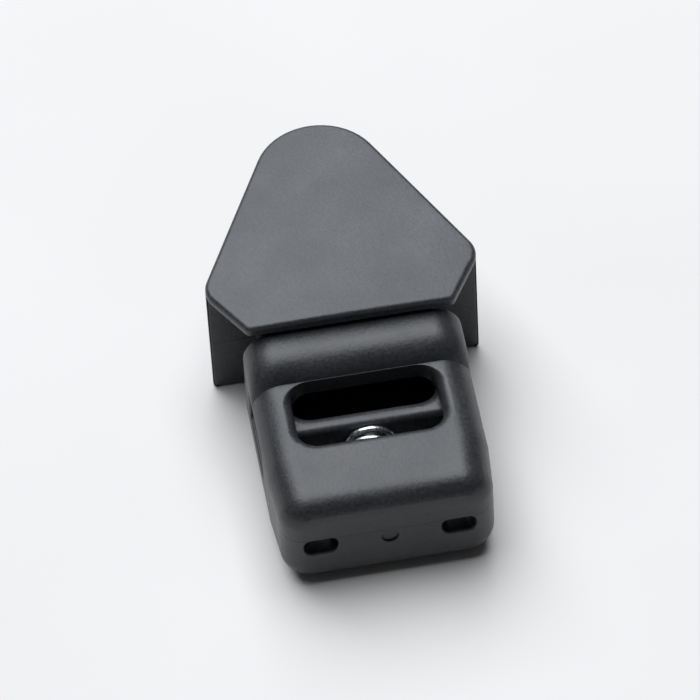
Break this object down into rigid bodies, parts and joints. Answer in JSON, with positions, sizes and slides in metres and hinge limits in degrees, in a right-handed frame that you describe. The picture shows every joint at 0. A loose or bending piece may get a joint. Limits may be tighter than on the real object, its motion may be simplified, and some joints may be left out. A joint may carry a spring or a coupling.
{
  "type": "push-button cord lock",
  "caption": "Flat spring-loaded cord lock with an arch-shaped push button sliding into a moulded body that clamps drawcords in a window.",
  "frame": {"origin": "on the surface the lock lies on, under the middle of its length and width", "axes": "+Y from the body towards the tip of the push button, +Z out of the flat face, +X across the lock"},
  "size_m": [0.0164, 0.0278, 0.0092],
  "materials": {
    "body_plastic": "fine satin texture",
    "button_plastic": "fine satin texture",
    "spring_steel": "drawn wire"
  },
  "bodies": {
    "housing": {"body": "body_plastic", "spring": "spring_steel"},
    "button": {"push_button": "button_plastic"}
  },
  "joints": [
    {"name": "button_press", "type": "slide", "parent": "housing", "child": "button", "axis": [0, -1, 0], "range_m": [0, 0.0032], "stiffness_N_per_m": 800, "springref_m": -0.004, "deforming": ["spring"]}
  ]
}
